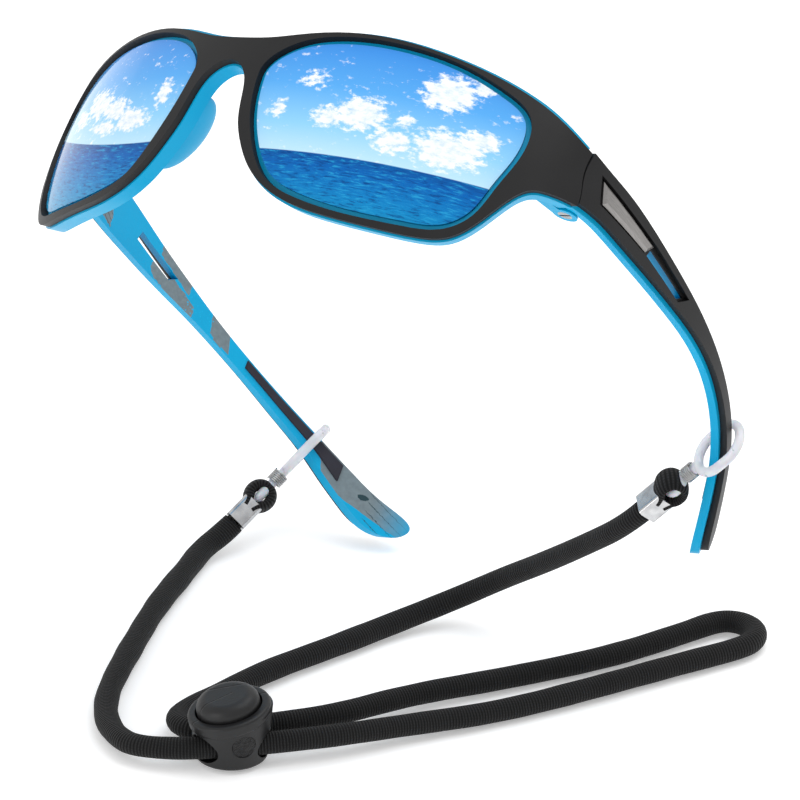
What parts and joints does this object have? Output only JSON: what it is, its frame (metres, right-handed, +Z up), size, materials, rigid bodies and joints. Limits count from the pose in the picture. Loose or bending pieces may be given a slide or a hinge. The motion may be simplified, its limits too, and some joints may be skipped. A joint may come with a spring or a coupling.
{
  "type": "wraparound sport sunglasses with strap",
  "caption": "Wraparound sunglasses with mirrored lenses, folding two-layer temples and a woven retainer strap clipped to the temple tips and gathered by a sliding push-button stopper.",
  "frame": {"origin": "the front face of the nose bridge, where the glasses are held as posed", "axes": "+Z up from the surface the strap lies on; the front is raised and the wearer's left side is higher, +X is roughly to the wearer's left and +Y roughly from the front to the temple tips"},
  "size_m": [0.1375, 0.1383, 0.1439],
  "materials": {
    "black_shell": "fine matte moulded nylon",
    "blue_frame": "satin moulded nylon, cyan blue",
    "lens_mirror": "blue mirror coat on polycarbonate",
    "gunmetal": "brushed dark metal",
    "grip_rubber": "soft matte",
    "silicone": "translucent white silicone",
    "strap": "woven cord with fine cross ribs",
    "chrome": "polished",
    "steel": "bright wire and screws",
    "brass_insert": "plain",
    "stopper_black": "satin moulded plastic",
    "stopper_gloss": "polished"
  },
  "bodies": {
    "front": {"front_shell": "black_shell", "front_frame": "blue_frame", "hinge_screws": "steel", "hinge_inserts": "brass_insert", "lens_left": "lens_mirror", "lens_right": "lens_mirror", "cord_left": "strap", "cord_right": "strap"},
    "temple_left": {"temple_outer_left": "black_shell", "temple_core_left": "blue_frame", "temple_trim_left": "gunmetal", "temple_grip_left": "grip_rubber", "hinge_bush_left": "steel", "silicone_loop_left": "silicone", "spring_collar_left": "steel", "strap_end_left": "strap", "crimp_left": "chrome"},
    "temple_right": {"temple_outer_right": "black_shell", "temple_core_right": "blue_frame", "temple_trim_right": "gunmetal", "temple_grip_right": "grip_rubber", "hinge_bush_right": "steel", "silicone_loop_right": "silicone", "spring_collar_right": "steel", "strap_end_right": "strap", "crimp_right": "chrome"},
    "stopper": {"stopper_body": "stopper_black", "stopper_stud": "stopper_gloss", "stopper_spring": "steel", "stopper_rivet": "steel"},
    "stopper_button": {"stopper_button": "stopper_black"}
  },
  "joints": [
    {"name": "temple_left_fold", "type": "hinge", "parent": "front", "child": "temple_left", "pos_m": [0.0632, 0.03828, -0.00909], "axis": [-0.4226, 0.6409, 0.6409], "range_deg": [0, 88]},
    {"name": "temple_right_fold", "type": "hinge", "parent": "front", "child": "temple_right", "pos_m": [-0.05644, -0.00116, -0.04854], "axis": [0.4226, -0.6409, -0.6409], "range_deg": [0, 80]},
    {"name": "stopper_slide", "type": "slide", "parent": "front", "child": "stopper", "axis": [0.309, 0.9511, 0], "range_m": [0, 0.008]},
    {"name": "button_press", "type": "slide", "parent": "stopper", "child": "stopper_button", "axis": [0.0642, 0.1977, -0.9781], "range_m": [0, 0.0015], "stiffness_N_per_m": 400, "deforming": ["stopper_spring"]}
  ]
}
